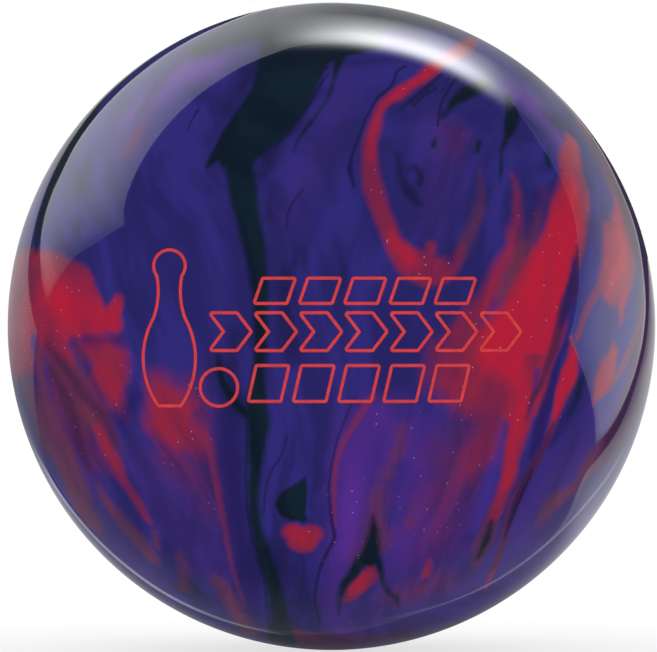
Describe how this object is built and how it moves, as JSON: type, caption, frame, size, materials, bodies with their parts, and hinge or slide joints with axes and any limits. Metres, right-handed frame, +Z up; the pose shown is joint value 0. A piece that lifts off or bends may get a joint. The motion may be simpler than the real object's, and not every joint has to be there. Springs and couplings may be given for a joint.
{
  "type": "bowling ball",
  "caption": "Undrilled glossy bowling ball with a swirled resin cover, an engraved painted emblem, a filler core and an asymmetric weight block with a locator pin.",
  "frame": {"origin": "the ball's centre", "axes": "+Z up, with the ball standing on its -Z point; -Y is the front, where the emblem is; the locator pin is 20 degrees from +Z towards the back, +Y"},
  "size_m": [0.2172, 0.2172, 0.2172],
  "materials": {
    "cover_resin": "gloss",
    "filler": "matte",
    "dense_block": "matte",
    "dense_insert": "matte",
    "pin_resin": "gloss",
    "mark_paint": "satin",
    "emblem_paint": "satin"
  },
  "bodies": {
    "root": {"coverstock": "cover_resin", "outer_core": "filler", "weight_block": "dense_block", "flip_block": "dense_insert", "locator_pin": "pin_resin", "cg_mark_infill": "mark_paint", "mass_bias_mark_infill": "mark_paint", "emblem_figure_infill": "emblem_paint", "emblem_upper_row_infill": "emblem_paint", "emblem_middle_row_infill": "emblem_paint", "emblem_lower_row_infill": "emblem_paint"}
  },
  "joints": []
}
